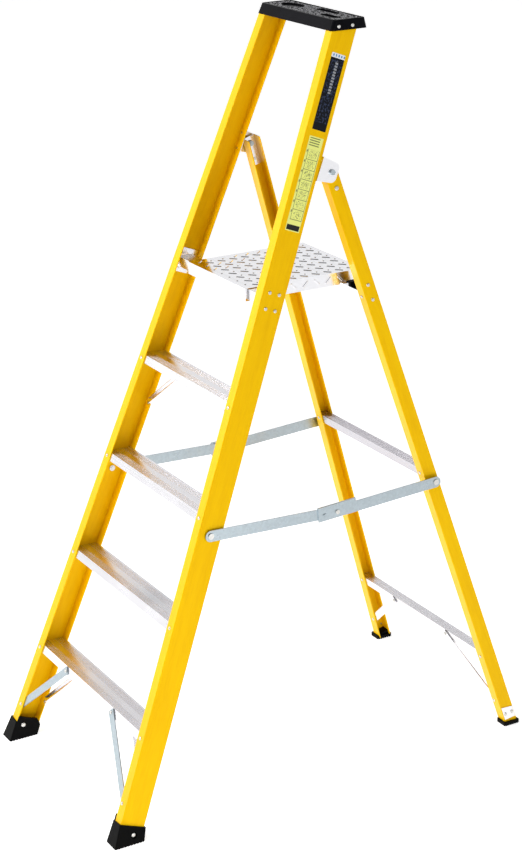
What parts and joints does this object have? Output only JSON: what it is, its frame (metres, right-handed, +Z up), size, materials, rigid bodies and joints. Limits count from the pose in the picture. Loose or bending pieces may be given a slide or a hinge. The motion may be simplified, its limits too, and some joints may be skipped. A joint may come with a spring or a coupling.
{
  "type": "platform step ladder",
  "caption": "Free-standing yellow fibreglass platform step ladder with ribbed aluminium treads, a folding chequer-plate platform, folding rear frame, locking spreaders and a black top cap.",
  "frame": {"origin": "on the floor, at the centre of the footprint box", "axes": "+Z up, -Y towards the climbing side, +X to the climber's right when facing the treads"},
  "size_m": [0.822, 1.4354, 2.284],
  "materials": {
    "fibreglass": "satin",
    "ribbed_aluminium": "satin",
    "sheet_aluminium": "satin",
    "chequer_plate": "polished",
    "galvanised_steel": "satin",
    "rivet_steel": "satin",
    "black_plastic": "textured",
    "black_rubber": "matte",
    "dark_label": "gloss",
    "pale_label": "satin"
  },
  "bodies": {
    "front_frame": {"boot_rivets": "rivet_steel", "brace_rivets": "rivet_steel", "cap_rivets": "rivet_steel", "front_boot_left": "black_rubber", "front_boot_right": "black_rubber", "front_stile_left": "fibreglass", "front_stile_right": "fibreglass", "hinge_bolts": "galvanised_steel", "hinge_bracket_left": "sheet_aluminium", "hinge_bracket_right": "sheet_aluminium", "hinge_rivets": "rivet_steel", "label_instructions": "pale_label", "label_rating": "dark_label", "platform_bracket_left": "sheet_aluminium", "platform_bracket_right": "sheet_aluminium", "platform_bracket_rivets": "rivet_steel", "platform_pivot_pins": "rivet_steel", "spreader_pivot_pins": "rivet_steel", "top_cap": "black_plastic", "tread_1": "ribbed_aluminium", "tread_2": "ribbed_aluminium", "tread_3": "ribbed_aluminium", "tread_4": "ribbed_aluminium", "tread_brace_front_left": "galvanised_steel", "tread_brace_front_right": "galvanised_steel", "tread_brace_rear_left": "sheet_aluminium", "tread_brace_rear_right": "sheet_aluminium", "tread_rivets": "rivet_steel", "upper_brace_left": "sheet_aluminium", "upper_brace_right": "sheet_aluminium"},
    "rear_frame": {"crossbar_gusset_left": "sheet_aluminium", "crossbar_gusset_right": "sheet_aluminium", "leg_plate_left": "sheet_aluminium", "leg_plate_right": "sheet_aluminium", "leg_rivets": "rivet_steel", "rear_brace_left": "galvanised_steel", "rear_brace_right": "galvanised_steel", "rear_crossbar": "sheet_aluminium", "rear_foot_pad_left": "black_rubber", "rear_foot_pad_right": "black_rubber", "rear_foot_plate_left": "sheet_aluminium", "rear_foot_plate_right": "sheet_aluminium", "rear_leg_left": "fibreglass", "rear_leg_right": "fibreglass", "rear_rung_low": "ribbed_aluminium", "rear_rung_mid": "ribbed_aluminium", "rung_rivets": "rivet_steel"},
    "platform": {"platform_plate": "chequer_plate", "platform_stops": "black_rubber"},
    "spreader_front_left": {"spreader_front_link_left": "galvanised_steel", "spreader_mid_pin_left": "rivet_steel"},
    "spreader_rear_left": {"spreader_rear_link_left": "galvanised_steel", "spreader_rear_pin_left": "rivet_steel"},
    "spreader_front_right": {"spreader_front_link_right": "galvanised_steel", "spreader_mid_pin_right": "rivet_steel"},
    "spreader_rear_right": {"spreader_rear_link_right": "galvanised_steel", "spreader_rear_pin_right": "rivet_steel"}
  },
  "joints": [
    {"name": "rear_frame_fold", "type": "hinge", "parent": "front_frame", "child": "rear_frame", "pos_m": [0, 0.13462, 1.84891], "axis": [-1, 0, 0], "range_deg": [0, 38]},
    {"name": "platform_fold", "type": "hinge", "parent": "front_frame", "child": "platform", "pos_m": [0, -0.08773, 1.49963], "axis": [1, 0, 0], "range_deg": [0, 68.81]},
    {"name": "spreader_front_fold_left", "type": "hinge", "parent": "front_frame", "child": "spreader_front_left", "pos_m": [-0.3305, -0.3387, 0.8526], "axis": [1, 0, 0], "range_deg": [0, 58.37]},
    {"name": "spreader_rear_fold_left", "type": "hinge", "parent": "spreader_front_left", "child": "spreader_rear_left", "pos_m": [-0.3338, 0.086, 0.83663], "axis": [1, 0, 0], "range_deg": [-174.05, 0]},
    {"name": "spreader_front_fold_right", "type": "hinge", "parent": "front_frame", "child": "spreader_front_right", "pos_m": [0.3305, -0.3387, 0.8526], "axis": [1, 0, 0], "range_deg": [0, 58.37]},
    {"name": "spreader_rear_fold_right", "type": "hinge", "parent": "spreader_front_right", "child": "spreader_rear_right", "pos_m": [0.3338, 0.086, 0.83663], "axis": [1, 0, 0], "range_deg": [-174.05, 0]}
  ],
  "couplings": [
    {"joint": "platform_fold", "follows": "rear_frame_fold", "ratio": 1.8105},
    {"joint": "spreader_front_fold_left", "follows": "rear_frame_fold", "ratio": 1.5358},
    {"joint": "spreader_rear_fold_left", "follows": "rear_frame_fold", "ratio": -4.5799},
    {"joint": "spreader_front_fold_right", "follows": "rear_frame_fold", "ratio": 1.5358},
    {"joint": "spreader_rear_fold_right", "follows": "rear_frame_fold", "ratio": -4.5799}
  ]
}
